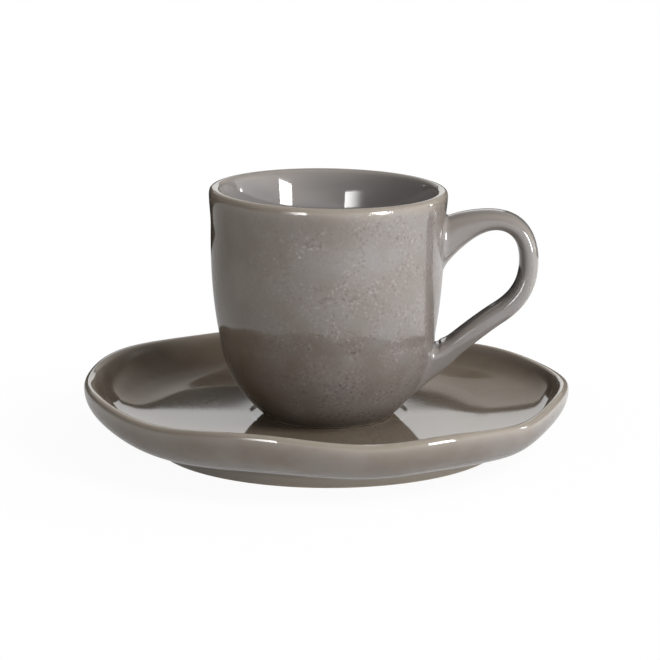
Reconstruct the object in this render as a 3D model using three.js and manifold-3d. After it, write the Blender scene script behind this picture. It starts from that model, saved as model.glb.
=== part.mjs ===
// A small stoneware coffee cup on its saucer, hand shaped: three fired pieces.
// Millimetres, +Z up. The saucer's foot ring stands on Z = 0 and the handle points along +X.

import * as THREE from 'three';
import { mergeVertices } from 'three/addons/utils/BufferGeometryUtils.js';
import Module from 'manifold-3d';

const wasm = await Module();
wasm.setup();

// Saucer
const SAUCER_RADIUS = 67;
const SAUCER_HEIGHT = 16.9;
const SAUCER_RIM = 4.4;
const SAUCER_FLOOR = 4.2;
const SAUCER_FOOT_RADIUS = 48;
const SAUCER_FOOT_WIDTH = 3.6;
const SAUCER_FOOT_HEIGHT = 4;
const SAUCER_COVE = 15;
const DISH_RISE = 0.6;
const WELL_DEPTH = 0.8;
const WELL_CLEARANCE = 3.2;

// Uneven rim of the saucer: waves round it that push it out or lift it by a size, first at an
// angle from +X in degrees
const RIM_REACH_WAVES = [
  { count: 1, size: 1.6, at: 203 },
  { count: 3, size: 1.8, at: 20 },
  { count: 6, size: 0.6, at: 21 },
];
const RIM_LIFT_WAVES = [
  { count: 1, size: 1.5, at: 199 },
  { count: 3, size: 0.4, at: 9 },
  { count: 5, size: 0.65, at: 40 },
  { count: 7, size: 0.55, at: 49 },
];

// Cup, with its belly's height above its own foot
const CUP_HEIGHT = 62.9;
const CUP_LIP_RADIUS = 32.5;
const CUP_LIP = 3.3;
const CUP_LIP_FLARE = 9.25;
const CUP_NECK_RADIUS = 31.9;
const CUP_BELLY_RADIUS = 29.4;
const CUP_BELLY_HEIGHT = 23;
const CUP_WALL = 3.5;
const CUP_FLOOR = 5;
const CUP_FOOT_RADIUS = 18;
const CUP_FOOT_WIDTH = 4;
const CUP_FOOT_HEIGHT = 1.2;
const CUP_LIP_TILT = 0.5;
const CUP_LEAN = 0.4;
const CUP_OFF_CENTRE = 0.4;

// Handle: its upper root and crown are measured down from the lip, its lower root up from the foot
const FINGER_GAP = 20.2;
const HANDLE_THICKNESS = 5.2;
const HANDLE_WIDTH = 11;
const CROWN_DROP = 5.9;
const UPPER_ROOT_DROP = 14.9;
const UPPER_ROOT_HEIGHT = 13.8;
const UPPER_FLARE = 18;
const LOWER_ROOT_RISE = 13.3;
const LOWER_ROOT_HEIGHT = 13.6;
const LOWER_FLARE = 10.5;
const ROOT_WIDENING = 1.4;
const ROOT_DEPTH = 2.8;
const ROOT_GAP = 0.3;
const KNEE_SLOPE = 33;

// How full the curves are, as shares of the stretch that each one spans
const FLANK_SWELL = 0.62;
const FLANK_DROP = 0.55;
const COVE_DROP = 0.5;
const COVE_SWEEP = 0.4;
const BELLY_SPREAD = 0.43;
const BELLY_RISE = 0.2;
const BELLY_TURN = 0.5;
const WALL_PULL = 0.35;
const WALL_SPREAD = 0.4;
const LIP_PULL = 0.4;
const LIP_TURN = 0.3;
const BOWL_SWEEP = 0.7;
const CROWN_PULL = 0.4;
const ELBOW_SHARE = 0.85;
const ELBOW_PULL = 0.5;
const KNEE_SHARE = 0.43;
const KNEE_REACH = 0.7;
const KNEE_PULL = 0.4;
const LEG_PULL = 0.3;

// Fineness of the facets, and the strap's section: 2 is an ellipse and more is squarer
const TURN_STEPS = 80;
const CURVE_STEPS = 5;
const STRAP_STEPS = 46;
const STRAP_SIDES = 20;
const STRAP_SQUARENESS = 2.6;
const EDGE = 0.5;

// Places that several pieces share
const WELL_HEIGHT = SAUCER_FOOT_HEIGHT + SAUCER_FLOOR;
const WELL_RADIUS = CUP_FOOT_RADIUS + WELL_CLEARANCE;
const LIP_MIDDLE = CUP_HEIGHT - CUP_LIP / 2;
const NECK_HEIGHT = LIP_MIDDLE - CUP_LIP_FLARE;

const { clamp, degToRad, lerp, smoothstep } = THREE.MathUtils;
const ease = (share) => smoothstep(share, 0, 1);
const wave = (angle, { count, size, at }) => size * Math.cos(count * (angle - degToRad(at)));
const sum = (numbers) => numbers.reduce((total, number) => total + number, 0);

function glaze(colour) {
  return new THREE.MeshStandardMaterial({ color: colour, roughness: 0.18, metalness: 0 });
}

// Merges shared vertices and leaves out the triangles that close up on the axis
function closed(geometry) {
  geometry.deleteAttribute('normal');
  geometry.deleteAttribute('uv');
  const merged = mergeVertices(geometry);
  const index = merged.getIndex().array;
  const kept = [];
  for (let i = 0; i < index.length; i += 3) {
    const [a, b, c] = index.slice(i, i + 3);
    if (a !== b && b !== c && c !== a) kept.push(a, b, c);
  }
  merged.setIndex(kept);
  return merged;
}

// Revolves an outline about Z and moves each of its points by the piece's own unevenness
function turned(outline, unevenness) {
  const lathe = new THREE.LatheGeometry(outline.getPoints(CURVE_STEPS), TURN_STEPS);
  lathe.rotateX(Math.PI / 2);
  const geometry = closed(lathe);
  const position = geometry.getAttribute('position');
  const point = new THREE.Vector3();
  for (let i = 0; i < position.count; i++) {
    point.fromBufferAttribute(position, i);
    unevenness(point);
    position.setXYZ(i, point.x, point.y, point.z);
  }
  geometry.computeVertexNormals();
  return geometry;
}

function toSolid(geometry) {
  const vertProperties = new Float32Array(geometry.getAttribute('position').array);
  const triVerts = new Uint32Array(geometry.getIndex().array);
  return new wasm.Manifold(new wasm.Mesh({ numProp: 3, vertProperties, triVerts }));
}

function toGeometry(solid) {
  const mesh = solid.getMesh();
  const geometry = new THREE.BufferGeometry();
  geometry.setAttribute('position', new THREE.BufferAttribute(mesh.vertProperties, 3));
  geometry.setIndex(new THREE.BufferAttribute(mesh.triVerts, 1));
  geometry.computeVertexNormals();
  return geometry;
}

// Half outline of the saucer, from the recess under it, over the foot ring and rim, to the well
function saucerOutline() {
  const floor = WELL_HEIGHT + WELL_DEPTH;
  const rimMiddle = SAUCER_HEIGHT - SAUCER_RIM / 2;
  const rimInside = SAUCER_RADIUS - SAUCER_RIM;
  const footInside = SAUCER_FOOT_RADIUS - SAUCER_FOOT_WIDTH;
  const footTop = SAUCER_FOOT_RADIUS + EDGE;
  const side = rimMiddle - SAUCER_FOOT_HEIGHT;
  const coveStart = SAUCER_RADIUS - SAUCER_COVE;
  const coveWidth = rimInside - coveStart;
  const outline = new THREE.Path();
  outline.moveTo(0, SAUCER_FOOT_HEIGHT);
  outline.lineTo(footInside - EDGE, SAUCER_FOOT_HEIGHT);
  outline.lineTo(footInside, 0);
  outline.lineTo(SAUCER_FOOT_RADIUS - EDGE, 0);
  outline.lineTo(SAUCER_FOOT_RADIUS, EDGE);
  outline.lineTo(footTop, SAUCER_FOOT_HEIGHT);
  outline.bezierCurveTo(
    lerp(footTop, SAUCER_RADIUS, FLANK_SWELL), SAUCER_FOOT_HEIGHT + EDGE,
    SAUCER_RADIUS, rimMiddle - FLANK_DROP * side,
    SAUCER_RADIUS, rimMiddle,
  );
  outline.absarc(SAUCER_RADIUS - SAUCER_RIM / 2, rimMiddle, SAUCER_RIM / 2, 0, Math.PI, false);
  outline.bezierCurveTo(
    rimInside, lerp(rimMiddle, floor, COVE_DROP),
    rimInside - COVE_SWEEP * coveWidth, floor + DISH_RISE + EDGE,
    coveStart, floor + DISH_RISE,
  );
  outline.bezierCurveTo(
    coveStart - coveWidth, floor + DISH_RISE - EDGE,
    WELL_RADIUS + coveWidth, floor,
    WELL_RADIUS + WELL_DEPTH, floor,
  );
  outline.quadraticCurveTo(WELL_RADIUS, floor, WELL_RADIUS - WELL_DEPTH, WELL_HEIGHT);
  outline.lineTo(0, WELL_HEIGHT);
  return outline;
}

// The rim wanders out, in, up and down, and the part over the foot ring stays true
function unevenSaucer(point) {
  const radius = Math.hypot(point.x, point.y);
  const angle = Math.atan2(point.y, point.x);
  const share = ease((radius - SAUCER_FOOT_RADIUS) / (SAUCER_RADIUS - SAUCER_FOOT_RADIUS));
  const reach = sum(RIM_REACH_WAVES.map((part) => wave(angle, part)));
  const lift = sum(RIM_LIFT_WAVES.map((part) => wave(angle, part)));
  point.x += share * reach * Math.cos(angle);
  point.y += share * reach * Math.sin(angle);
  point.z += share * lift;
}

// Outside of the cup from foot to lip, grown outwards where a clearance is wanted
function addCupSide(outline, grow) {
  const foot = CUP_FOOT_RADIUS + grow;
  const belly = CUP_BELLY_RADIUS + grow;
  const neck = CUP_NECK_RADIUS + grow;
  const lip = CUP_LIP_RADIUS + grow;
  const wallRise = NECK_HEIGHT - CUP_BELLY_HEIGHT;
  outline.lineTo(foot, EDGE);
  outline.bezierCurveTo(
    lerp(foot, belly, BELLY_SPREAD), EDGE + BELLY_RISE * CUP_BELLY_HEIGHT,
    belly - WALL_PULL * (neck - belly), BELLY_TURN * CUP_BELLY_HEIGHT,
    belly, CUP_BELLY_HEIGHT,
  );
  outline.bezierCurveTo(
    lerp(belly, neck, WALL_SPREAD), CUP_BELLY_HEIGHT + WALL_PULL * wallRise,
    neck, NECK_HEIGHT - WALL_PULL * wallRise,
    neck, NECK_HEIGHT,
  );
  outline.bezierCurveTo(
    neck, NECK_HEIGHT + LIP_PULL * CUP_LIP_FLARE,
    lip, LIP_MIDDLE - LIP_TURN * CUP_LIP_FLARE,
    lip, LIP_MIDDLE,
  );
}

// Half outline of the cup, from the recess under it, up the outside and down the inside
function cupOutline() {
  const inLip = CUP_LIP_RADIUS - CUP_LIP;
  const inNeck = CUP_NECK_RADIUS - CUP_WALL;
  const inBelly = CUP_BELLY_RADIUS - CUP_WALL;
  const footInside = CUP_FOOT_RADIUS - CUP_FOOT_WIDTH;
  const floor = CUP_FOOT_HEIGHT + CUP_FLOOR;
  const wallRise = NECK_HEIGHT - CUP_BELLY_HEIGHT;
  const outline = new THREE.Path();
  outline.moveTo(0, CUP_FOOT_HEIGHT);
  outline.lineTo(footInside - EDGE, CUP_FOOT_HEIGHT);
  outline.lineTo(footInside, 0);
  outline.lineTo(CUP_FOOT_RADIUS - EDGE, 0);
  addCupSide(outline, 0);
  outline.absarc(CUP_LIP_RADIUS - CUP_LIP / 2, LIP_MIDDLE, CUP_LIP / 2, 0, Math.PI, false);
  outline.bezierCurveTo(
    inLip, LIP_MIDDLE - LIP_TURN * CUP_LIP_FLARE,
    inNeck, NECK_HEIGHT + LIP_PULL * CUP_LIP_FLARE,
    inNeck, NECK_HEIGHT,
  );
  outline.bezierCurveTo(
    inNeck, NECK_HEIGHT - WALL_PULL * wallRise,
    lerp(inBelly, inNeck, WALL_SPREAD), CUP_BELLY_HEIGHT + WALL_PULL * wallRise,
    inBelly, CUP_BELLY_HEIGHT,
  );
  outline.bezierCurveTo(
    inBelly - WALL_PULL * (inNeck - inBelly), lerp(floor, CUP_BELLY_HEIGHT, BELLY_TURN),
    BOWL_SWEEP * inBelly, floor,
    0, floor,
  );
  return outline;
}

// The lip stands a little higher away from the handle, and the wall bows that way
function unevenCup(point) {
  const rise = point.z / CUP_HEIGHT;
  const angle = Math.atan2(point.y, point.x);
  const reach = Math.min(Math.hypot(point.x, point.y) / CUP_FOOT_RADIUS, 1);
  point.x -= CUP_LEAN * Math.sin(Math.PI * clamp(rise, 0, 1));
  point.z -= CUP_LIP_TILT * Math.cos(angle) * reach * rise ** 3;
}

// The cup's outside as a filled form, with the clearance that the handle's roots keep to it
function wallGrownByGap() {
  const outline = new THREE.Path();
  outline.moveTo(0, 0);
  addCupSide(outline, ROOT_GAP);
  outline.lineTo(0, LIP_MIDDLE);
  return turned(outline, unevenCup);
}

// Where the wall lies on the handle's side at a height, and which way it faces there
function wallAt(height) {
  const outline = new THREE.Path();
  outline.moveTo(CUP_FOOT_RADIUS - EDGE, 0);
  addCupSide(outline, 0);
  const points = outline.getPoints(CURVE_STEPS);
  const above = points.findIndex((point) => point.y > height);
  const [low, high] = [points[above - 1], points[above]];
  const share = (height - low.y) / (high.y - low.y);
  const place = new THREE.Vector3(lerp(low.x, high.x, share), 0, height);
  unevenCup(place);
  const outward = new THREE.Vector3(high.y - low.y, 0, low.x - high.x).normalize();
  return { place, outward };
}

// Middle line of the strap: out of the wall, over the crown, round the elbow to the knee and down the leg
function handleSpine(upper, lower) {
  const crown = CUP_HEIGHT - CROWN_DROP;
  const elbowReach = CUP_NECK_RADIUS + FINGER_GAP + HANDLE_THICKNESS / 2;
  const elbow = new THREE.Vector3(elbowReach, 0, lerp(lower.place.z, upper.place.z, ELBOW_SHARE));
  const knee = new THREE.Vector3(
    lerp(lower.place.x, elbow.x, KNEE_REACH), 0, lerp(lower.place.z, upper.place.z, KNEE_SHARE),
  );
  const slope = degToRad(KNEE_SLOPE);
  const upLeg = new THREE.Vector3(Math.cos(slope), 0, Math.sin(slope));
  const drop = elbow.z - knee.z;
  const leg = knee.distanceTo(lower.place);
  const crownStart = new THREE.Vector3(lerp(upper.place.x, elbow.x, CROWN_PULL), 0, crown);
  const crownEnd = new THREE.Vector3(elbow.x, 0, crown);
  const elbowEnd = elbow.clone().setZ(elbow.z - ELBOW_PULL * drop);
  const kneeStart = knee.clone().addScaledVector(upLeg, KNEE_PULL * drop);
  const kneeEnd = knee.clone().addScaledVector(upLeg, -LEG_PULL * leg);
  const legEnd = lower.place.clone().lerp(knee, LEG_PULL);
  const upperEnd = upper.place.clone().addScaledVector(upper.outward, -ROOT_DEPTH);
  const lowerEnd = lower.place.clone().addScaledVector(lower.outward, -ROOT_DEPTH);
  const spine = new THREE.CurvePath();
  spine.add(new THREE.LineCurve3(upperEnd, upper.place));
  spine.add(new THREE.CubicBezierCurve3(upper.place, crownStart, crownEnd, elbow));
  spine.add(new THREE.CubicBezierCurve3(elbow, elbowEnd, kneeStart, knee));
  spine.add(new THREE.CubicBezierCurve3(knee, kneeEnd, legEnd, lower.place));
  spine.add(new THREE.LineCurve3(lower.place, lowerEnd));
  return spine;
}

// One ring of the strap's section, a rounded oblong that stands square to the way it faces
function strapRing(middle, facing, thickness, width) {
  const across = new THREE.Vector3(0, 1, 0);
  const outside = facing.clone().cross(across);
  const round = (value) => Math.sign(value) * Math.abs(value) ** (2 / STRAP_SQUARENESS);
  const ring = [];
  for (let side = 0; side < STRAP_SIDES; side++) {
    const angle = (2 * Math.PI * side) / STRAP_SIDES;
    const point = middle.clone();
    point.addScaledVector(outside, (thickness / 2) * round(Math.cos(angle)));
    point.addScaledVector(across, (width / 2) * round(Math.sin(angle)));
    ring.push(point);
  }
  return ring;
}

// Joins rings of equal count into a closed skin with flat ends
function skinned(rings) {
  const sides = rings[0].length;
  const last = (rings.length - 1) * sides;
  const triangles = [];
  for (let start = 0; start < last; start += sides) {
    for (let side = 0; side < sides; side++) {
      const [a, b] = [start + side, start + ((side + 1) % sides)];
      triangles.push(a, b + sides, b, a, a + sides, b + sides);
    }
  }
  for (let side = 1; side < sides - 1; side++) {
    triangles.push(0, side, side + 1);
    triangles.push(last, last + side + 1, last + side);
  }
  const skin = new THREE.BufferGeometry().setFromPoints(rings.flat());
  skin.setIndex(triangles);
  return skin;
}

// Lofts the strap along its spine. Near each root it flares and turns to face the wall squarely.
function handleStrap() {
  const upper = wallAt(CUP_HEIGHT - UPPER_ROOT_DROP);
  const lower = wallAt(LOWER_ROOT_RISE);
  const inward = lower.outward.clone().negate();
  const spine = handleSpine(upper, lower);
  const length = spine.getLength();
  const rings = [];
  for (let step = 0; step <= STRAP_STEPS; step++) {
    const share = step / STRAP_STEPS;
    const fromUpper = Math.max(share * length - ROOT_DEPTH, 0) / UPPER_FLARE;
    const fromLower = Math.max((1 - share) * length - ROOT_DEPTH, 0) / LOWER_FLARE;
    const upperFlare = Math.max(1 - fromUpper, 0) ** 2;
    const lowerFlare = Math.max(1 - fromLower, 0) ** 2;
    const facing = spine.getTangentAt(share);
    facing.lerp(upper.outward, 1 - ease(fromUpper));
    facing.lerp(inward, 1 - ease(fromLower)).normalize();
    const thickness = HANDLE_THICKNESS
      + upperFlare * (UPPER_ROOT_HEIGHT - HANDLE_THICKNESS)
      + lowerFlare * (LOWER_ROOT_HEIGHT - HANDLE_THICKNESS);
    const width = HANDLE_WIDTH + ROOT_WIDENING * (upperFlare + lowerFlare);
    rings.push(strapRing(spine.getPointAt(share), facing, thickness, width));
  }
  return skinned(rings);
}

function makeSaucer() {
  const saucer = new THREE.Mesh(turned(saucerOutline(), unevenSaucer), glaze(0x6f675f));
  saucer.name = 'saucer';
  return saucer;
}

function makeCupBody() {
  const body = new THREE.Mesh(turned(cupOutline(), unevenCup), glaze(0x807972));
  body.name = 'cup_body';
  return body;
}

function makeCupHandle() {
  const seated = toSolid(handleStrap()).subtract(toSolid(wallGrownByGap()));
  const handle = new THREE.Mesh(toGeometry(seated), glaze(0x7b746d));
  handle.name = 'cup_handle';
  return handle;
}

// The cup stands in the saucer's well, a little off its centre
const cup = new THREE.Group();
cup.add(makeCupBody(), makeCupHandle());
cup.position.set(-CUP_OFF_CENTRE, 0, WELL_HEIGHT);

const cupAndSaucer = new THREE.Group();
cupAndSaucer.add(makeSaucer(), cup);

// The origin is on the table, under the middle of the whole
const middle = new THREE.Box3().setFromObject(cupAndSaucer, true).getCenter(new THREE.Vector3());
cupAndSaucer.position.set(-middle.x, -middle.y, 0);
cupAndSaucer.updateMatrixWorld(true);

export default cupAndSaucer;
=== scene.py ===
import math

import bpy
import numpy as np
from bpy.props import FloatProperty, FloatVectorProperty, PointerProperty
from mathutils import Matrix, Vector


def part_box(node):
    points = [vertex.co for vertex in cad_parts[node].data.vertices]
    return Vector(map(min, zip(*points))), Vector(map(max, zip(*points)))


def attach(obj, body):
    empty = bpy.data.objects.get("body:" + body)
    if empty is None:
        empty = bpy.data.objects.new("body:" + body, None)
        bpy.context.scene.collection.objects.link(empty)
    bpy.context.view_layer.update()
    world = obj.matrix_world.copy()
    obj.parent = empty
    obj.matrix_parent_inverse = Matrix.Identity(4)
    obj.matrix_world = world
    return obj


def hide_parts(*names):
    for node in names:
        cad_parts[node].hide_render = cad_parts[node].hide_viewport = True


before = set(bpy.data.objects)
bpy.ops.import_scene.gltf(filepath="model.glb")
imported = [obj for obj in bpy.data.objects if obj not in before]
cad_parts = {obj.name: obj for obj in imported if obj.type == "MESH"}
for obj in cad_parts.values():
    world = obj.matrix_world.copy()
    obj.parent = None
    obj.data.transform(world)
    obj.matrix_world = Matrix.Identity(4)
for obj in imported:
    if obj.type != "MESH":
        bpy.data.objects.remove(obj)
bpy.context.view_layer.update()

bl_info = {
    "name": "Stoneware Cup and Saucer",
    "version": (1, 0, 0),
    "blender": (4, 5, 0),
    "location": "3D View > Sidebar > Cup and Saucer",
    "description": "Makes a glazed stoneware coffee cup with its handle and its saucer, and a plain stage",
    "category": "Object",
}

# Fineness of the meshes, in metres and in counts
FINE = 0.0007
CUP_TURN_STEPS = 320
SAUCER_TURN_STEPS = 420
STRAP_STEPS = 190
STRAP_SIDES = 80
FILLET_STEPS = 9

# How full the curves are, as shares of the stretch that each one spans
FLANK_SWELL = 0.68
FLANK_DROP = 0.55
COVE_PULL = 0.45
BELLY_SPREAD = 0.43
BELLY_RISE = 0.2
BELLY_TURN = 0.5
WALL_PULL = 0.35
WALL_SPREAD = 0.8
LIP_PULL = 0.4
LIP_TURN = 0.3
MOUTH_PULL = 0.36
BOWL_SWEEP = 0.7
CROWN_PULL = 0.4
ELBOW_SHARE = 0.85
ELBOW_PULL = 0.5
KNEE_SHARE = 0.43
KNEE_REACH = 0.7
KNEE_PULL = 0.4
LEG_PULL = 0.3
LIP_FULLNESS = 0.76
RIM_FULLNESS = 0.75
STRAP_SQUARENESS = 2.6
LEG_SQUARENESS = 4.0
LEG_START = 0.45
LEG_END = 0.95
FILLET_CLEARANCE = 0.6

# Small sizes in metres: rounded edges of the foot rings, the change from outside to inside over a rim,
# and how deep the handle's fillets and roots sit in the wall
EDGE = 0.0005
RIM_CHANGE = 0.003
FILLET_SINK = 0.00008
ROOT_SINK = 0.0012

# How far from a crest or a foot the glaze is thin or missing, in metres. On the saucer's foot ring the thin
# glaze is painted light, a lighter edge colour that lifts the shade under the flank
THIN_ON_RIM = 0.0022
THIN_ON_LIP = 0.0024
PAINTED_LIGHT_ON_FOOT = (0.002, 0.005)
BARE_ON_SAUCER = 0.0006
BARE_ON_CUP = 0.0005

# Shares of bloom, lining and grain in the glaze of each piece. The cup's bloom on its lamp side and the
# saucer's bloom swing are painted light: a lighter, greyer tone where the lamp falls, over the glaze's real
# milky bloom
CUP_BLOOM_AND_PAINTED_LIGHT = 0.85
# The cup's grain marks are strong on its lamp side and weak on its shade side: painted light
CUP_SHADE_GRAIN = 0.1
LIP_SHARE_BEHIND = 0.4
HANDLE_BLOOM = 0.95
HANDLE_LINING = 0.45
HANDLE_GRAIN = 0.06
HANDLE_CORNERS = 0.25
SAUCER_BLOOM = 0.25
SAUCER_PAINTED_LIGHT_SWING = 0.3
SAUCER_GRAIN = 0.03

# The side of the main lamp in degrees from +X to -Y, and how squarely the cup faces it where bloom comes
# in, as painted light on the lit side
LAMP_AZIMUTH = 40
LAMP_REACH = (-0.3, 0.9)

# Where the saucer's hollow, crease and twist start and end, from the middle, in metres
HOLLOW_START = (0.028, 0.046)
HOLLOW_END = (0.048, 0.060)
CREASE_END = (0.045, 0.057)
CREASE_SOFTNESS = 0.004
TWIST_START = (0.032, 0.046)

# Waves of the rim and hollow: how many, how large in metres, and the first crest's angle from +X in degrees
RIM_REACH_WAVES = (
    (1, 0.0013, 203),
    (2, 0.0005, 148),
    (3, 0.0013, 24),
    (4, 0.0006, 34),
    (5, 0.0004, 10),
    (6, 0.0004, 16),
)
HOLLOW_WAVES = ((1, 0.0025, 180),)
RIM_LIFT_WAVES = ((1, 0.0014, 199), (2, 0.0001, 148), (3, 0.0003, 7), (5, 0.00055, 39), (7, 0.00055, 48))

# Single swells and dips of the rim: the angle from +X and the width in degrees, and the lift in metres
RIM_SWELLS = ((-66, 13, 0.0009), (-36, 11, -0.0008))


def length(name, default, description):
    return FloatProperty(
        name=name, description=description, default=default, min=0, unit="LENGTH", precision=5
    )


def angle(name, degrees, description):
    return FloatProperty(name=name, description=description, default=math.radians(degrees), subtype="ANGLE")


def colour(name, default, description):
    return FloatVectorProperty(
        name=name, description=description, default=default, size=3, min=0, max=1, subtype="COLOR"
    )


def number(name, default, description):
    return FloatProperty(name=name, description=description, default=default, min=0)


class SaucerSizes(bpy.types.PropertyGroup):
    """Sizes of the saucer"""

    radius: length("Radius", 0.067, "Radius of the rim before it wanders")
    height: length("Height", 0.0169, "Height of the rim before it wanders")
    rim: length("Rim", 0.0034, "Thickness of the rounded rim")
    floor: length("Floor", 0.0042, "Thickness of the floor under the cup")
    foot_radius: length("Foot radius", 0.048, "Outside radius of the foot ring")
    foot_width: length("Foot width", 0.0036, "Width of the foot ring")
    foot_height: length("Foot height", 0.004, "Height of the foot ring")
    cove: length("Cove", 0.010, "Width of the curve from the dish up to the rim")
    cove_slope: angle("Cove slope", 25, "Slope of the curve under the rim, away from upright")
    hollow_radius: length("Hollow radius", 0.045, "Radius of the slightly hollow middle of the dish")
    hollow_slope: angle("Hollow slope", 2.0, "Slope of the dish where its hollow middle ends")
    crease: angle("Crease", 0.35, "Slope to both sides of a faint valley across the dish")
    twist: angle("Twist", 0.6, "How far the right of the dish leans to the front")
    knee_slope: angle("Knee slope", 13, "Slope of the dish where the cove starts")
    well_depth: length("Well depth", 0.00004, "Depth of the well that the cup stands in")
    well_edge: length("Well edge", 0.0005, "Width of the soft step down into the well")
    well_clearance: length("Well clearance", 0.0032, "Room round the cup's foot in the well")


class CupSizes(bpy.types.PropertyGroup):
    """Sizes of the cup without its handle"""

    height: length("Height", 0.0629, "Height from the foot to the lip")
    lip_radius: length("Lip radius", 0.0325, "Outside radius of the lip")
    lip: length("Lip", 0.0033, "Thickness of the rounded lip")
    lip_flare: length("Lip flare", 0.00925, "Height of the stretch that flares out to the lip")
    mouth_depth: length("Mouth depth", 0.022, "How far down the inside narrows from the lip")
    neck_radius: length("Neck radius", 0.0319, "Outside radius under the flare")
    belly_radius: length("Belly radius", 0.0297, "Outside radius where the side turns in")
    belly_height: length("Belly height", 0.023, "Height where the side turns in")
    mouth_slope: angle("Mouth slope", 16.5, "Slope of the inside just under the lip, away from upright")
    wall: length("Wall", 0.0059, "Thickness of the wall below the mouth")
    floor: length("Floor", 0.005, "Thickness of the floor")
    foot_radius: length("Foot radius", 0.018, "Outside radius of the foot ring")
    foot_width: length("Foot width", 0.004, "Width of the foot ring")
    foot_height: length("Foot height", 0.0012, "Height of the foot ring")
    lip_tilt: length("Lip tilt", 0.0005, "How much the lip drops towards the handle")
    lean: length("Lean", 0.0004, "How far the wall bows away from the handle")


class HandleSizes(bpy.types.PropertyGroup):
    """Sizes of the strap handle"""

    finger_gap: length("Finger gap", 0.0202, "Room between the neck and the strap's elbow")
    thickness: length("Thickness", 0.0052, "Thickness of the strap")
    width: length("Width", 0.011, "Width of the strap")
    crown_drop: length("Crown drop", 0.0059, "Pull of the strap's top below the lip")
    upper_drop: length("Upper root drop", 0.0149, "Middle of the upper root below the lip")
    upper_height: length("Upper root height", 0.0138, "Height of the strap where it meets the wall above")
    upper_flare: length("Upper flare", 0.018, "Length over which the strap spreads to its upper root")
    lower_rise: length("Lower root rise", 0.0133, "Middle of the lower root above the cup's foot")
    lower_height: length("Lower root height", 0.0136, "Height of the strap where it meets the wall below")
    lower_flare: length("Lower flare", 0.0105, "Length over which the strap spreads to its lower root")
    widening: length("Root widening", 0.0014, "How much wider the strap is at its roots")
    fillet: length("Fillet", 0.0019, "Size of the smoothed clay in the corner at each root")
    knee_slope: angle("Knee slope", 33, "Slope of the leg at the knee")


class GlazeLook(bpy.types.PropertyGroup):
    """Colours and finish of the glaze"""

    thick: colour("Thick glaze", (0.145, 0.113, 0.083), "Glaze where it lies thick")
    thin: colour("Thin glaze", (0.17, 0.137, 0.106), "Glaze where it lies thinner, in soft patches")
    # The bloom colour is partly the glaze's milky bloom and partly painted light, laid on the lamp side of
    # the cup and saucer
    bloom: colour("Bloom", (0.205, 0.19, 0.183), "Milky bloom that formed in the glaze")
    lining: colour("Lining", (0.245, 0.229, 0.223), "Milky glaze inside the cup and on its handle")
    # Pale marks on the raised grain and dark marks in the sunken grain: partly specks, partly painted
    # glints and painted shade of the pits
    pale_and_painted_glint: colour("Pale marks", (0.31, 0.295, 0.285), "Small raised marks in the glaze")
    dark: colour("Dark marks", (0.1, 0.08, 0.064), "Small sunken marks in the glaze")
    rose: colour("Rose", (0.2, 0.168, 0.156), "Warmer glaze among the pits")
    # The edge colour also lies on the saucer's foot ring as painted light, lifting the shade under the
    # flank
    edge: colour("Edges", (0.32, 0.281, 0.232), "Glaze where it breaks over rims and edges")
    clay: colour("Bare clay", (0.45, 0.36, 0.26), "Unglazed clay of the foot rings")
    roughness: number("Roughness", 0.05, "Roughness of the glaze")
    refraction: number("Index of refraction", 1.7, "How strongly the glaze reflects")


class StageLook(bpy.types.PropertyGroup):
    """Camera, floor and light"""

    floor_tone: colour("Floor", (0.9, 0.9, 0.9), "Colour of the pale floor")
    room_light: number("Room light", 0.22, "Light that comes evenly from all round")
    lamp_power: FloatProperty(
        name="Lamp power", description="Power of the main lamp", default=8.7, min=0, unit="POWER"
    )
    box_light: number("Soft boxes", 26.0, "Brightness of the soft boxes that show in the gloss")
    camera_lens: FloatProperty(
        name="Lens", description="Focal length of the camera", default=163.0, min=1, unit="CAMERA"
    )


def between(start, end, share):
    return start + (end - start) * share


def ease(share):
    share = np.clip(share, 0, 1)
    return share * share * (3 - 2 * share)


def rising(value, start, end):
    """0 before the start, 1 after the end and a smooth climb from one to the other."""
    return ease((value - start) / (end - start))


def along(controls, spacing):
    """Fine points of a Bezier curve of any degree, without its first point."""
    controls = np.array(controls, float)
    reach = np.linalg.norm(np.diff(controls, axis=0), axis=1).sum()
    shares = np.linspace(0, 1, max(2, math.ceil(reach / spacing)) + 1)[1:, None]
    layers = [np.repeat(control[None], len(shares), axis=0) for control in controls]
    while len(layers) > 1:
        layers = [between(a, b, shares) for a, b in zip(layers, layers[1:])]
    return layers[0]


def drawn(start, *stretches):
    """One fine line from a start, where each stretch gives the control points after the last end."""
    points = np.array([start], float)
    for stretch in stretches:
        points = np.concatenate([points, along([points[-1], *stretch], FINE)])
    return points


def half_round(inner, outer, height, fullness, slope):
    """Two stretches over a rounded rim, from its outside to its inside, which may slope from upright."""
    middle = (inner + outer) / 2
    radius = (outer - inner) / 2
    pull = fullness * radius
    top = height + radius
    rise = [(outer, height + pull), (middle + pull, top), (middle, top)]
    fall = [
        (middle - pull, top),
        (inner + pull * math.sin(slope), height + pull * math.cos(slope)),
        (inner, height),
    ]
    return rise, fall


def foot_ring(sizes):
    """Stretches from the recess under a piece, round its foot ring and up the ring's outside."""
    outside = sizes.foot_radius
    inside = outside - sizes.foot_width
    height = sizes.foot_height
    return (
        [(inside - 2 * EDGE, height)],
        [(inside - EDGE, height), (inside - 0.8 * EDGE, height - EDGE)],
        [(inside - 0.2 * EDGE, EDGE)],
        [(inside, 0), (inside + EDGE, 0)],
        [(outside - EDGE, 0)],
        [(outside, 0), (outside, EDGE)],
    )


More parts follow.
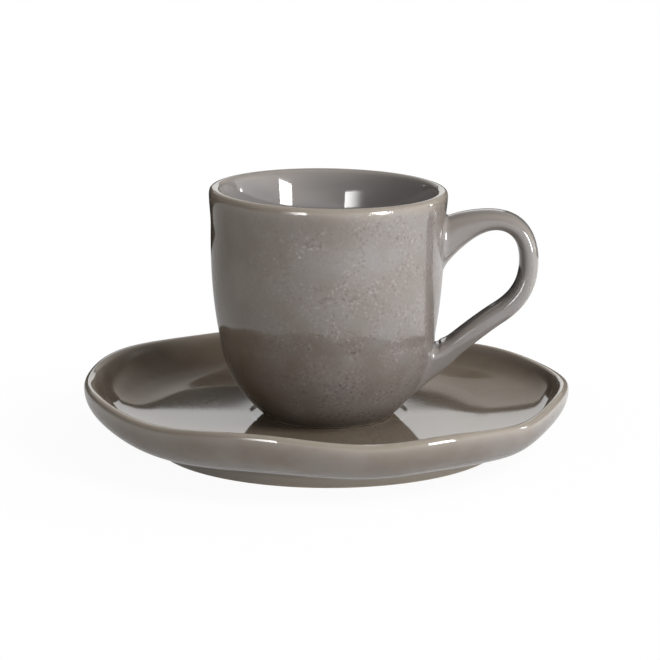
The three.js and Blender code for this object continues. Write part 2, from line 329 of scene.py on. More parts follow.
def revolved(outline, steps):
    """Points and faces of an outline turned about Z, which starts and ends on the axis."""
    inner = outline[1:-1]
    turn = np.linspace(0, 2 * math.pi, steps, endpoint=False)
    rows = np.stack(
        [
            np.outer(inner[:, 0], np.cos(turn)),
            np.outer(inner[:, 0], np.sin(turn)),
            np.repeat(inner[:, 1:], steps, axis=1),
        ],
        axis=-1,
    )
    first = len(inner) * steps
    last = first + 1
    ends = [(0, 0, outline[0, 1]), (0, 0, outline[-1, 1])]
    points = np.concatenate([rows.reshape(-1, 3), ends])
    faces = []
    for side in range(steps):
        after = (side + 1) % steps
        for row in range(0, first - steps, steps):
            faces.append((row + side, row + after, row + steps + after, row + steps + side))
        faces.append((first, after, side))
        faces.append((last, first - steps + side, first - steps + after))
    return points, faces


def add_mesh(name, points, faces, **marks):
    """A smooth mesh object in the frame, with named marks that the materials read."""
    mesh = bpy.data.meshes.new(name)
    mesh.from_pydata(points.tolist(), [], faces)
    mesh.validate()
    for mark, values in marks.items():
        attribute = mesh.attributes.new(mark, "FLOAT", "POINT")
        attribute.data.foreach_set("value", np.asarray(values, np.float32))
    mesh.shade_smooth()
    piece = bpy.data.objects.new(name, mesh)
    bpy.context.scene.collection.objects.link(piece)
    return piece


def dress(piece, body, node, material):
    """Lets a piece stand for its CAD node, on its body and in its finish."""
    piece.data.materials.append(material)
    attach(piece, body)
    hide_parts(node)


def inside_share(outline, steps):
    """0 on the outside of a turned piece and 1 on its inside, with a soft change over its rim."""
    rows = outline[1:-1]
    travel = np.cumsum(np.linalg.norm(np.diff(outline[:-1], axis=0), axis=1))
    crest = travel[np.argmax(rows[:, 1])]
    return np.concatenate([np.repeat(ease((travel - crest) / RIM_CHANGE + 0.5), steps), [0, 1]])


def facing_lamp(points):
    """1 on the side of a turned piece that faces the main lamp, down to -1 on the side away from it."""
    return np.cos(np.arctan2(points[:, 1], points[:, 0]) + math.radians(LAMP_AZIMUTH))


def seat_on(points, node):
    """The shift that puts points where the CAD node of the same form stands."""
    low, high = (np.array(corner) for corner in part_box(node))
    shift = (low + high) / 2 - (points.min(axis=0) + points.max(axis=0)) / 2
    shift[2] = low[2] - points[:, 2].min()
    return shift


def waves(turn, parts):
    return sum(size * np.cos(count * (turn - math.radians(at))) for count, size, at in parts)


def swells(turn, parts):
    degrees = np.degrees(turn)
    return sum(size * np.exp(-(((degrees - at) / width) ** 2)) for at, width, size in parts)


# Saucer


def well_radius():
    scene = bpy.context.scene
    return scene.cup_sizes.foot_radius + scene.saucer_sizes.well_clearance


def saucer_outline(sizes):
    """Half outline from the recess under the saucer, over the foot ring and rim, to the well."""
    well = sizes.foot_height + sizes.floor
    dish = well + sizes.well_depth
    rim_middle = sizes.height - sizes.rim / 2
    rim_inside = sizes.radius - sizes.rim
    foot_top = sizes.foot_radius + EDGE
    side = rim_middle - sizes.foot_height
    knee = sizes.radius - sizes.cove
    well_top = well_radius() + sizes.well_edge
    hollow_half = (sizes.hollow_radius - well_top) / 2
    climb_half = (knee - sizes.hollow_radius) / 2
    hollow_rise = dish + hollow_half * math.tan(sizes.hollow_slope)
    climb_middle = hollow_rise + climb_half * math.tan(sizes.hollow_slope)
    knee_height = climb_middle + climb_half * math.tan(sizes.knee_slope)
    drop = COVE_PULL * (rim_middle - knee_height)
    run = COVE_PULL * (rim_inside - knee)
    step = well_radius() + sizes.well_edge / 2
    return drawn(
        (0, sizes.foot_height),
        *foot_ring(sizes),
        [(sizes.foot_radius + 0.8 * EDGE, sizes.foot_height - EDGE)],
        [(foot_top, sizes.foot_height), (foot_top + EDGE, sizes.foot_height)],
        [
            (between(foot_top, sizes.radius, FLANK_SWELL), sizes.foot_height + EDGE),
            (sizes.radius, rim_middle - FLANK_DROP * side),
            (sizes.radius, rim_middle),
        ],
        *half_round(rim_inside, sizes.radius, rim_middle, RIM_FULLNESS, sizes.cove_slope),
        [
            (rim_inside - drop * math.tan(sizes.cove_slope), rim_middle - drop),
            (knee + run, knee_height + run * math.tan(sizes.knee_slope)),
            (knee, knee_height),
        ],
        [(sizes.hollow_radius + climb_half, climb_middle), (sizes.hollow_radius, hollow_rise)],
        [(well_top + hollow_half, dish), (well_top, dish)],
        [(step, dish), (step, well), (well_radius(), well)],
        [(0, well)],
    )


def valley(across):
    """How far a soft-bottomed valley has risen at a distance across it, for a slope of 1."""
    return np.hypot(across, CREASE_SOFTNESS) - CREASE_SOFTNESS


def uneven_saucer(points, inside, sizes):
    """The rim wanders, the dish's hollow lies a little to one side, and the foot ring stays true."""
    reach = np.hypot(points[:, 0], points[:, 1])
    turn = np.arctan2(points[:, 1], points[:, 0])
    below = ease((reach - sizes.foot_radius) / (sizes.radius - sizes.foot_radius))
    above = ease((reach - sizes.radius + sizes.cove) / sizes.cove)
    share = between(below, above, inside)
    hollow = inside * rising(reach, *HOLLOW_START) * (1 - rising(reach, *HOLLOW_END))
    out = share * waves(turn, RIM_REACH_WAVES) + hollow * waves(turn, HOLLOW_WAVES)
    up = share * (waves(turn, RIM_LIFT_WAVES) + swells(turn, RIM_SWELLS))
    middle = inside * (1 - rising(reach, *CREASE_END))
    up += middle * sizes.crease * valley(points[:, 1])
    up -= inside * sizes.crease * valley(bpy.context.scene.cup_sizes.foot_radius)
    up += inside * sizes.twist * points[:, 1] * rising(points[:, 0], *TWIST_START)
    return points + np.stack([out * np.cos(turn), out * np.sin(turn), up], axis=1)


class CUPSAUCER_OT_saucer(bpy.types.Operator):
    """Make the saucer with its wandering rim, its well and its foot ring"""

    bl_idname = "cupsaucer.saucer"
    bl_label = "Make Saucer"

    def execute(self, context):
        sizes = context.scene.saucer_sizes
        outline = saucer_outline(sizes)
        points, faces = revolved(outline, SAUCER_TURN_STEPS)
        inside = inside_share(outline, SAUCER_TURN_STEPS)
        reach = np.hypot(points[:, 0], points[:, 1])
        crest = np.hypot(reach - sizes.radius + sizes.rim / 2, points[:, 2] - sizes.height)
        thin = np.exp(-((crest / THIN_ON_RIM) ** 2))
        # Painted light: the saucer's foot ring gets the lighter edge colour, against the shade under its
        # flank
        thin = np.maximum(thin, (1 - inside) * (1 - rising(points[:, 2], *PAINTED_LIGHT_ON_FOOT)))
        bare = 1 - ease(points[:, 2] / BARE_ON_SAUCER)
        points = uneven_saucer(points, inside, sizes)
        points += cup_place(context.scene.cup_sizes) * (1, 1, 0)
        # Painted light: the saucer's outside takes more bloom on the side that faces the lamp
        bloom = (1 - inside) * (SAUCER_BLOOM + SAUCER_PAINTED_LIGHT_SWING * facing_lamp(points))
        saucer = add_mesh(
            "glazed_saucer", points, faces,
            thin_glaze=thin, bare_clay=bare, bloom=bloom, lining=np.zeros(len(points)),
            grain=np.full(len(points), SAUCER_GRAIN),
        )
        dress(saucer, "saucer", "saucer", glaze("saucer glaze"))
        return {"FINISHED"}


# Cup


def cup_side(sizes):
    """Stretches of the cup's outside from its foot to its lip."""
    lip_middle = sizes.height - sizes.lip / 2
    neck_height = lip_middle - sizes.lip_flare
    wall_rise = neck_height - sizes.belly_height
    spread = sizes.neck_radius - sizes.belly_radius
    return (
        [
            (
                between(sizes.foot_radius, sizes.belly_radius, BELLY_SPREAD),
                EDGE + BELLY_RISE * sizes.belly_height,
            ),
            (sizes.belly_radius - WALL_PULL * spread, BELLY_TURN * sizes.belly_height),
            (sizes.belly_radius, sizes.belly_height),
        ],
        [
            (sizes.belly_radius + WALL_SPREAD * spread, sizes.belly_height + WALL_PULL * wall_rise),
            (sizes.neck_radius, neck_height - WALL_PULL * wall_rise),
            (sizes.neck_radius, neck_height),
        ],
        [
            (sizes.neck_radius, neck_height + LIP_PULL * sizes.lip_flare),
            (sizes.lip_radius, lip_middle - LIP_TURN * sizes.lip_flare),
            (sizes.lip_radius, lip_middle),
        ],
    )


def cup_outline(sizes):
    """Half outline from the recess under the cup, up the outside and down the inside."""
    lip_middle = sizes.height - sizes.lip / 2
    in_lip = sizes.lip_radius - sizes.lip
    in_neck = sizes.neck_radius - sizes.wall
    in_belly = sizes.belly_radius - sizes.wall
    mouth = sizes.height - sizes.mouth_depth
    floor = sizes.foot_height + sizes.floor
    fall = mouth - sizes.belly_height
    pull = MOUTH_PULL * (lip_middle - mouth)
    return drawn(
        (0, sizes.foot_height),
        *foot_ring(sizes),
        *cup_side(sizes),
        *half_round(in_lip, sizes.lip_radius, lip_middle, LIP_FULLNESS, sizes.mouth_slope),
        [
            (in_lip - pull * math.sin(sizes.mouth_slope), lip_middle - pull * math.cos(sizes.mouth_slope)),
            (in_neck, mouth + pull),
            (in_neck, mouth),
        ],
        [
            (in_neck, mouth - WALL_PULL * fall),
            (between(in_belly, in_neck, WALL_SPREAD), sizes.belly_height + WALL_PULL * fall),
            (in_belly, sizes.belly_height),
        ],
        [
            (in_belly - WALL_PULL * (in_neck - in_belly), between(floor, sizes.belly_height, BELLY_TURN)),
            (BOWL_SWEEP * in_belly, floor),
            (0, floor),
        ],
    )


def uneven_cup(points, sizes):
    """The lip stands a little higher away from the handle, and the wall bows that way."""
    rise = np.clip(points[:, 2] / sizes.height, 0, 1)
    turn = np.arctan2(points[:, 1], points[:, 0])
    reach = np.minimum(np.hypot(points[:, 0], points[:, 1]) / sizes.foot_radius, 1)
    moved = points.copy()
    moved[:, 0] -= sizes.lean * np.sin(math.pi * rise)
    moved[:, 2] -= sizes.lip_tilt * np.cos(turn) * reach * rise**3
    return moved


def cup_place(sizes):
    """Where the cup's own origin stands in the frame."""
    points, _ = revolved(cup_outline(sizes), CUP_TURN_STEPS)
    return seat_on(uneven_cup(points, sizes), "cup_body")


class CUPSAUCER_OT_cup_body(bpy.types.Operator):
    """Make the cup's body with its rounded lip, its inside and its foot ring"""

    bl_idname = "cupsaucer.cup_body"
    bl_label = "Make Cup Body"

    def execute(self, context):
        sizes = context.scene.cup_sizes
        outline = cup_outline(sizes)
        points, faces = revolved(outline, CUP_TURN_STEPS)
        inside = inside_share(outline, CUP_TURN_STEPS)
        reach = np.hypot(points[:, 0], points[:, 1])
        crest = np.hypot(reach - sizes.lip_radius + sizes.lip / 2, points[:, 2] - sizes.height)
        towards_back = ease(0.5 + points[:, 1] / sizes.lip_radius)
        thin = np.exp(-((crest / THIN_ON_LIP) ** 2)) * between(1, LIP_SHARE_BEHIND, towards_back)
        bare = 1 - ease(points[:, 2] / BARE_ON_CUP)
        # Painted light: the cup's outside takes bloom, and more grain marks, on the side that faces the
        # lamp
        lamp_side = rising(facing_lamp(points), *LAMP_REACH)
        bloom = between(CUP_BLOOM_AND_PAINTED_LIGHT * lamp_side, 1, inside)
        grain = (1 - inside) * (1 - thin) * between(CUP_SHADE_GRAIN, 1, lamp_side)
        points = uneven_cup(points, sizes) + cup_place(sizes)
        body = add_mesh(
            "glazed_cup_body", points, faces,
            thin_glaze=thin, bare_clay=bare, bloom=bloom, lining=inside, grain=grain,
        )
        dress(body, "cup", "cup_body", glaze("cup glaze"))
        return {"FINISHED"}


# Handle


def outside_of_wall(points, sizes):
    """How far points lie outside the cup's wall, and below zero inside it."""
    side = drawn((sizes.foot_radius, EDGE), *cup_side(sizes))
    turn = np.arctan2(points[:, 1], points[:, 0])
    rise = np.clip(points[:, 2] / sizes.height, 0, 1)
    height = points[:, 2] + sizes.lip_tilt * np.cos(turn) * rise**3
    reach = np.hypot(points[:, 0] + sizes.lean * np.sin(math.pi * rise), points[:, 1])
    return reach - np.interp(height, side[:, 1], side[:, 0])


def onto_wall(points, sizes, sink):
    """Points moved level towards the cup's axis, or away from it, to lie a little inside its wall."""
    moved = points.copy()
    for _ in range(6):
        level = moved[:, :2] / np.linalg.norm(moved[:, :2], axis=1, keepdims=True)
        moved[:, :2] -= level * (outside_of_wall(moved, sizes) + sink)[:, None]
    return moved


def wall_at(height, sizes):
    """A point of the wall on the handle's side at a height, and the way that the wall faces there."""
    start = np.array([[sizes.lip_radius, 0, height + up] for up in (-EDGE, 0, EDGE)])
    low, place, high = onto_wall(start, sizes, 0)
    slope = high - low
    facing = np.array([slope[2], 0, -slope[0]])
    return place, facing / np.linalg.norm(facing)


def handle_spine(upper, lower, cup, sizes):
    """Middle line of the strap: over the crown, round the elbow to the knee and down the leg."""
    crown = cup.height - sizes.crown_drop
    elbow = np.array([
        cup.neck_radius + sizes.finger_gap + sizes.thickness / 2,
        0,
        between(lower[2], upper[2], ELBOW_SHARE),
    ])
    knee = np.array([between(lower[0], elbow[0], KNEE_REACH), 0, between(lower[2], upper[2], KNEE_SHARE)])
    up_leg = np.array([math.cos(sizes.knee_slope), 0, math.sin(sizes.knee_slope)])
    drop = elbow[2] - knee[2]
    leg = np.linalg.norm(knee - lower)
    down = np.array([0, 0, -1])
    spacing = FINE / 4
    over = along([
        upper, (between(upper[0], elbow[0], CROWN_PULL), 0, crown), (elbow[0], 0, crown), elbow
    ], spacing)
    round_elbow = along([
        elbow, elbow + ELBOW_PULL * drop * down, knee + KNEE_PULL * drop * up_leg, knee
    ], spacing)
    down_leg = along([
        knee, knee - LEG_PULL * leg * up_leg, between(lower, knee, LEG_PULL), lower
    ], spacing)
    return np.concatenate([upper[None], over, round_elbow, down_leg])


def strap_section(middle, facing, thickness, width, squareness):
    """A ring of the strap, a rounded oblong that stands square to the way it faces."""
    across = np.array([0, 1, 0])
    outside = np.cross(facing, across)
    turn = np.linspace(0, 2 * math.pi, STRAP_SIDES, endpoint=False)
    thick = np.sign(np.cos(turn)) * np.abs(np.cos(turn)) ** (2 / squareness)
    wide = np.sign(np.sin(turn)) * np.abs(np.sin(turn)) ** (2 / squareness)
    return middle + np.outer(thickness / 2 * thick, outside) + np.outer(width / 2 * wide, across)


def strap_rings(cup, sizes):
    """Rings along the strap, which flares near each root and turns to face the wall squarely."""
    upper, upper_facing = wall_at(cup.height - sizes.upper_drop, cup)
    lower, lower_facing = wall_at(sizes.lower_rise, cup)
    spine = handle_spine(upper, lower, cup, sizes)
    steps = np.linalg.norm(np.diff(spine, axis=0), axis=1)
    travel = np.concatenate([[0], np.cumsum(steps)])
    rings = []
    for distance in np.linspace(0, travel[-1], STRAP_STEPS):
        middle = np.array([np.interp(distance, travel, spine[:, axis]) for axis in range(3)])
        ahead = np.array([np.interp(distance + FINE, travel, spine[:, axis]) for axis in range(3)])
        behind = np.array([np.interp(distance - FINE, travel, spine[:, axis]) for axis in range(3)])
        from_upper = distance / sizes.upper_flare
        from_lower = (travel[-1] - distance) / sizes.lower_flare
        upper_spread = max(1 - from_upper, 0) ** 2
        lower_spread = max(1 - from_lower, 0) ** 2
        facing = (ahead - behind) / np.linalg.norm(ahead - behind)
        facing = between(facing, upper_facing, 1 - ease(from_upper))
        facing = between(facing, -lower_facing, 1 - ease(from_lower))
        thickness = sizes.thickness
        thickness += upper_spread * (sizes.upper_height - sizes.thickness)
        thickness += lower_spread * (sizes.lower_height - sizes.thickness)
        width = sizes.width + sizes.widening * (upper_spread + lower_spread)
        in_leg = rising(distance / travel[-1], LEG_START, LEG_END)
        squareness = between(STRAP_SQUARENESS, LEG_SQUARENESS, in_leg)
        rings.append(strap_section(middle, facing / np.linalg.norm(facing), thickness, width, squareness))
    return np.array(rings)


def filleted_root(rings, cup, fillet):
    """Rings that lead from a strap, whose first ring is at the wall, down a fillet and into the wall."""
    clear = np.array([outside_of_wall(ring, cup) for ring in rings])
    first = int(np.argmax((clear > FILLET_CLEARANCE * fillet).all(axis=1)))
    start = rings[first]
    heading = start - rings[first + 1]
    heading /= np.linalg.norm(heading, axis=1, keepdims=True)
    corner = start.copy()
    for _ in range(12):
        corner += heading * outside_of_wall(corner, cup)[:, None]
    outward = corner - corner.mean(axis=0)
    outward /= np.linalg.norm(outward, axis=1, keepdims=True)
    landing = onto_wall(corner + fillet * outward, cup, FILLET_SINK)
    shares = np.linspace(0, 1, FILLET_STEPS + 1)[1:]
    bend = [between(between(start, corner, s), between(corner, landing, s), s) for s in shares]
    inside = onto_wall(corner, cup, ROOT_SINK)
    return first, np.array([inside, *bend[::-1]])


def skinned(rings):
    """Points and faces of a closed skin over rings of equal count."""
    count, sides = rings.shape[:2]
    faces = []
    for row in range(count - 1):
        for side in range(sides):
            after = (side + 1) % sides
            low, high = row * sides, (row + 1) * sides
            faces.append((low + side, high + side, high + after, low + after))
    faces.append(tuple(range(sides)))
    faces.append(tuple(range(count * sides - 1, (count - 1) * sides - 1, -1)))
    return rings.reshape(-1, 3), faces


class CUPSAUCER_OT_cup_handle(bpy.types.Operator):
    """Make the strap handle with its roots smoothed into the cup's wall"""

    bl_idname = "cupsaucer.cup_handle"
    bl_label = "Make Cup Handle"

    def execute(self, context):
        cup = context.scene.cup_sizes
        sizes = context.scene.handle_sizes
        rings = strap_rings(cup, sizes)
        first, upper = filleted_root(rings, cup, sizes.fillet)
        last, lower = filleted_root(rings[::-1], cup, sizes.fillet)
        strap = np.concatenate([upper, rings[first:len(rings) - last], lower[::-1]])
        points, faces = skinned(strap)
        turn = np.linspace(0, 2 * math.pi, STRAP_SIDES, endpoint=False)
        corner = np.tile(np.abs(np.sin(2 * turn)) ** 4, len(strap))
        handle = add_mesh(
            "glazed_cup_handle", points + cup_place(cup), faces,
            thin_glaze=HANDLE_CORNERS * corner,
            bare_clay=np.zeros(len(points)),
            bloom=np.full(len(points), HANDLE_BLOOM),
            lining=np.full(len(points), HANDLE_LINING),
            grain=np.full(len(points), HANDLE_GRAIN),
        )
        dress(handle, "cup", "cup_handle", glaze("handle glaze"))
        return {"FINISHED"}


# Glaze

# Sizes of the marks as noise scales, and their heights as shares of the bump's depth in metres
PATCH_SCALE = 75.0
GATHERING_SCALE = 140.0
RIPPLE_SCALE = 260.0
GRAIN_SCALE = 1150.0
SOFT_DETAIL = 3.0
PLAIN_DETAIL = 1.0
GRAIN_HEIGHT = 0.25
RIPPLE_HEIGHT = 0.004
BUMP_DEPTH = 0.0001

# Levels of the noise between which each kind of mark comes in
PATCH_LEVELS = (0.36, 0.64)
GATHERING_LEVELS = (0.38, 0.6)
RAISED_LEVELS = (0.56, 0.74)
SUNKEN_LEVELS = (0.44, 0.26)

# Shares of the marks in the glaze, and of grain that lies outside the gathered patches. The pale and dark
# marks are partly specks and partly painted glints and painted shade of the pits
LOOSE_GRAIN = 0.25
ROSE_SHARE = 0.5
PALE_AND_GLINT_SHARE = 0.5
DARK_AND_PIT_SHADE_SHARE = 0.65
LEAST_BLOOM = 0.6
PATCHY_BLOOM = 0.5
CLAY_ROUGHNESS = 0.75


def add_node(tree, kind, place, **settings):
    made = tree.nodes.new(kind)
    made.location = place
    for name, value in settings.items():
        setattr(made, name, value)
    return made


def feed(tree, socket, value):
    """Links a socket to another node's output, or sets it to a plain value."""
    if isinstance(value, bpy.types.NodeSocket):
        tree.links.new(value, socket)
    else:
        socket.default_value = value


def sockets(tree, inputs, outputs):
    for name, kind in inputs:
        tree.interface.new_socket(name, in_out="INPUT", socket_type=kind)
    for name, kind in outputs:
        tree.interface.new_socket(name, in_out="OUTPUT", socket_type=kind)


def math_node(tree, place, operation, *values):
    made = add_node(tree, "ShaderNodeMath", place, operation=operation)
    for socket, value in zip(made.inputs, values):
        feed(tree, socket, value)
    return made.outputs[0]


def mix_colour(tree, place, share, first, second):
    made = add_node(tree, "ShaderNodeMix", place, data_type="RGBA")
    feed(tree, made.inputs["Factor"], share)
    feed(tree, made.inputs[6], first)
    feed(tree, made.inputs[7], second)
    return made.outputs[2]


def spread(tree, place, value, low, high, start=0.0, end=1.0):
    """A smooth step, from 0 to 1 unless other ends are given, as a value goes from low to high."""
    made = add_node(tree, "ShaderNodeMapRange", place, interpolation_type="SMOOTHSTEP")
    feed(tree, made.inputs["Value"], value)
    feed(tree, made.inputs["From Min"], low)
    feed(tree, made.inputs["From Max"], high)
    feed(tree, made.inputs["To Min"], start)
    feed(tree, made.inputs["To Max"], end)
    return made.outputs["Result"]


def cloud(tree, place, vector, scale, detail):
    made = add_node(tree, "ShaderNodeTexNoise", place)
    feed(tree, made.inputs["Vector"], vector)
    feed(tree, made.inputs["Scale"], scale)
    feed(tree, made.inputs["Detail"], detail)
    return made.outputs["Fac"]


def peel_group():
    """Fine raised and sunken marks of the fired glaze, which gather in patches."""
    name = "Orange peel"
    if name in bpy.data.node_groups:
        return bpy.data.node_groups[name]
    tree = bpy.data.node_groups.new(name, "ShaderNodeTree")
    sockets(
        tree,
        [("Grain with painted light", "NodeSocketFloat"), ("Fineness", "NodeSocketFloat")],
        [(output, "NodeSocketFloat") for output in ("Height", "Raised", "Sunken", "Gathered", "Patches")],
    )
    given = add_node(tree, "NodeGroupInput", (-900, 0))
    result = add_node(tree, "NodeGroupOutput", (500, 0))
    where = add_node(tree, "ShaderNodeTexCoord", (-900, 300)).outputs["Object"]
    patches = cloud(tree, (-650, 500), where, PATCH_SCALE, SOFT_DETAIL)
    patches = spread(tree, (-400, 500), patches, *PATCH_LEVELS)
    gathered = cloud(tree, (-650, 250), where, GATHERING_SCALE, SOFT_DETAIL)
    gathered = spread(tree, (-400, 250), gathered, *GATHERING_LEVELS)
    gathered = math_node(tree, (-150, 250), "MULTIPLY", gathered, given.outputs["Grain with painted light"])
    amount = math_node(tree, (-150, 100), "MULTIPLY", given.outputs["Grain with painted light"], LOOSE_GRAIN)
    amount = math_node(tree, (0, 150), "MULTIPLY_ADD", gathered, 1 - LOOSE_GRAIN, amount)
    grains = cloud(tree, (-650, 0), where, given.outputs["Fineness"], PLAIN_DETAIL)
    raised = spread(tree, (-400, 0), grains, *RAISED_LEVELS)
    raised = math_node(tree, (150, 100), "MULTIPLY", raised, amount)
    sunken = spread(tree, (-400, -200), grains, *SUNKEN_LEVELS)
    sunken = math_node(tree, (150, -50), "MULTIPLY", sunken, amount)
    ripples = cloud(tree, (-650, -400), where, RIPPLE_SCALE, PLAIN_DETAIL)
    ripples = math_node(tree, (-150, -400), "MULTIPLY", ripples, RIPPLE_HEIGHT)
    relief = math_node(tree, (150, -200), "SUBTRACT", raised, sunken)
    height = math_node(tree, (300, -200), "MULTIPLY_ADD", relief, GRAIN_HEIGHT, ripples)
    for socket, value in zip(result.inputs, (height, raised, sunken, gathered, patches)):
        feed(tree, socket, value)
    return tree


def mark(tree, place, name):
    return add_node(tree, "ShaderNodeAttribute", place, attribute_name=name).outputs["Fac"]


def glaze(name):
    """A reactive stoneware glaze: dark where thick, tan over edges, flecked, and bare under the foot. Its
    bloom is partly painted light on the lamp side, its pale and dark flecks are partly painted glints and
    painted pit shade, and its tan on the saucer's foot ring is painted light.
    """
    look = bpy.context.scene.glaze_look
    material = bpy.data.materials.new(name)
    material.use_nodes = True
    tree = material.node_tree
    shader = tree.nodes["Principled BSDF"]
    group = add_node(tree, "ShaderNodeGroup", (-900, 100), node_tree=peel_group())
    feed(tree, group.inputs["Grain with painted light"], mark(tree, (-1150, 100), "grain"))
    feed(tree, group.inputs["Fineness"], GRAIN_SCALE)
    bare = mark(tree, (-900, -450), "bare_clay")
    patches = group.outputs["Patches"]
    tone = mix_colour(tree, (-600, 300), patches, (*look.thick, 1), (*look.thin, 1))
    # The bloom share, with its painted light on the lamp side, greys the tone
    milky_and_painted_light = math_node(tree, (-600, 500), "MULTIPLY_ADD", patches, PATCHY_BLOOM, LEAST_BLOOM)
    milky_and_painted_light = math_node(tree, (-400, 500), "MULTIPLY", milky_and_painted_light, mark(tree, (-1150, 400), "bloom"))
    tone = mix_colour(tree, (-500, 300), milky_and_painted_light, tone, (*look.bloom, 1))
    tone = mix_colour(tree, (-450, 300), mark(tree, (-1150, 700), "lining"), tone, (*look.lining, 1))
    rosy = math_node(tree, (-600, 700), "MULTIPLY", group.outputs["Gathered"], ROSE_SHARE)
    tone = mix_colour(tree, (-400, 300), rosy, tone, (*look.rose, 1))
    # Painted glints on the raised marks and painted shade in the sunken ones, over specks of the glaze
    raised = math_node(tree, (-600, 850), "MULTIPLY", group.outputs["Raised"], PALE_AND_GLINT_SHARE)
    tone = mix_colour(tree, (-350, 300), raised, tone, (*look.pale_and_painted_glint, 1))
    sunken = math_node(tree, (-600, 1000), "MULTIPLY", group.outputs["Sunken"], DARK_AND_PIT_SHADE_SHARE)
    tone = mix_colour(tree, (-300, 300), sunken, tone, (*look.dark, 1))
    tone = mix_colour(tree, (-200, 300), mark(tree, (-900, -200), "thin_glaze"), tone, (*look.edge, 1))
    tone = mix_colour(tree, (0, 300), bare, tone, (*look.clay, 1))
    feed(tree, shader.inputs["Base Color"], tone)
    rough = math_node(tree, (-200, 0), "MULTIPLY_ADD", bare, CLAY_ROUGHNESS, look.roughness)
    feed(tree, shader.inputs["Roughness"], rough)
    shader.inputs["IOR"].default_value = look.refraction
    bump = add_node(tree, "ShaderNodeBump", (-200, -250))
    bump.inputs["Distance"].default_value = BUMP_DEPTH
    feed(tree, bump.inputs["Height"], group.outputs["Height"])
    feed(tree, shader.inputs["Normal"], bump.outputs["Normal"])
    return material


# Stage

# Half the width of the floor and ceiling, and the ceiling's height, in metres
STAGE_HALF = 3.0
CEILING_HEIGHT = 0.75

# The camera stands and looks over this spot, in the middle of the foot, in metres
PICTURE_FOOT = Vector((0.0004, 0.0023, 0))
CAMERA_STAND = Vector((0, -0.8, 0.2155))
CAMERA_AIM = Vector((0, 0, 0.0315))

# Floor: distances in metres over which the shadow and the light in the gloss change, and from what to what
SHADOW_REACH = (0.06, 0.14)
SHADOW_WHITE = (0.95, 1.0)
POOL_SIDES = (-0.05, 0.2)
POOL_LIGHT = (0.68, 1.56)
POOL_BACK = (0.262, 0.25)
SHADE_REACH = (0.06, 0.11)
SHADE_LIGHT = (0.6, 1.0)
BEHIND_REACH = (0.0, 0.12)
BEHIND_LIGHT = (1.0, 0.65)

# Ceiling: the same for its lighter fields in front and behind, and the tint and the strengths of its light
FIELD_OUT = (1.2, 2.6)
FIELD_SIDES = (-1.5, 1.5)
FIELD_FRONT = (1.6, 0.4)
FIELD_WIDTH = (1.1, 0.6)
FIELD_BACK = 2.456
FRONT_FIELD = (0.3, 1.8)
BACK_FIELD = (0.42, -0.27)
CEILING_TINT = (1, 0.93, 0.85, 1)
CEILING_DARK = 0.06
CEILING_LIGHT = 0.8

# Strengths of the backdrop, the black cards and the flag in the gloss
BACKDROP_LIGHT = 1.2
BLACK = 0.02
FLAG_LIGHT = 0.12


def seen_as(tree, place, lit, gloss, camera):
    """A shader that lights as one thing, shows in gloss as another and to the camera as a third."""
    path = add_node(tree, "ShaderNodeLightPath", (place[0] - 600, place[1] + 300))
    mirrored = math_node(
        tree, (place[0] - 350, place[1] + 300), "MAXIMUM",
        path.outputs["Is Glossy Ray"], path.outputs["Is Transmission Ray"],
    )
    mix = add_node(tree, "ShaderNodeMixShader", place)
    feed(tree, mix.inputs[0], mirrored)
    feed(tree, mix.inputs[1], lit)
    feed(tree, mix.inputs[2], gloss)
    seen = add_node(tree, "ShaderNodeMixShader", (place[0] + 200, place[1]))
    feed(tree, seen.inputs[0], path.outputs["Is Camera Ray"])
    feed(tree, seen.inputs[1], mix.outputs[0])
    feed(tree, seen.inputs[2], camera)
    return seen.outputs[0]


def white_room(strength):
    world = bpy.data.worlds.new("white room")
    world.use_nodes = True
    tree = world.node_tree
    lit = tree.nodes["Background"]
    lit.inputs["Color"].default_value = (1, 1, 1, 1)
    lit.inputs["Strength"].default_value = strength
    white = add_node(tree, "ShaderNodeBackground", (0, -200))
    white.inputs["Color"].default_value = (1, 1, 1, 1)
    shader = seen_as(tree, (300, 0), lit.outputs[0], white.outputs[0], white.outputs[0])
    feed(tree, tree.nodes["World Output"].inputs["Surface"], shader)
    bpy.context.scene.world = world


def far_from_middle(tree, place, inner, outer, low, high):
    """A value that goes smoothly from low, near the middle of a floor or ceiling, to high further out."""
    where = add_node(tree, "ShaderNodeTexCoord", (place[0] - 400, place[1])).outputs["Object"]
    away = add_node(tree, "ShaderNodeVectorMath", (place[0] - 200, place[1]), operation="LENGTH")
    feed(tree, away.inputs[0], where)
    return spread(tree, place, away.outputs["Value"], inner, outer, low, high)


def place_of(tree, place, kind):
    """The X, Y and Z of a point of a surface, in the coordinates of a kind."""
    where = add_node(tree, "ShaderNodeTexCoord", (place[0] - 200, place[1])).outputs[kind]
    apart = add_node(tree, "ShaderNodeSeparateXYZ", place)
    feed(tree, apart.inputs[0], where)
    return apart.outputs


def bare_material(name):
    """A new material without its usual shader, and its node tree."""
    material = bpy.data.materials.new(name)
    material.use_nodes = True
    material.node_tree.nodes.remove(material.node_tree.nodes["Principled BSDF"])
    return material, material.node_tree


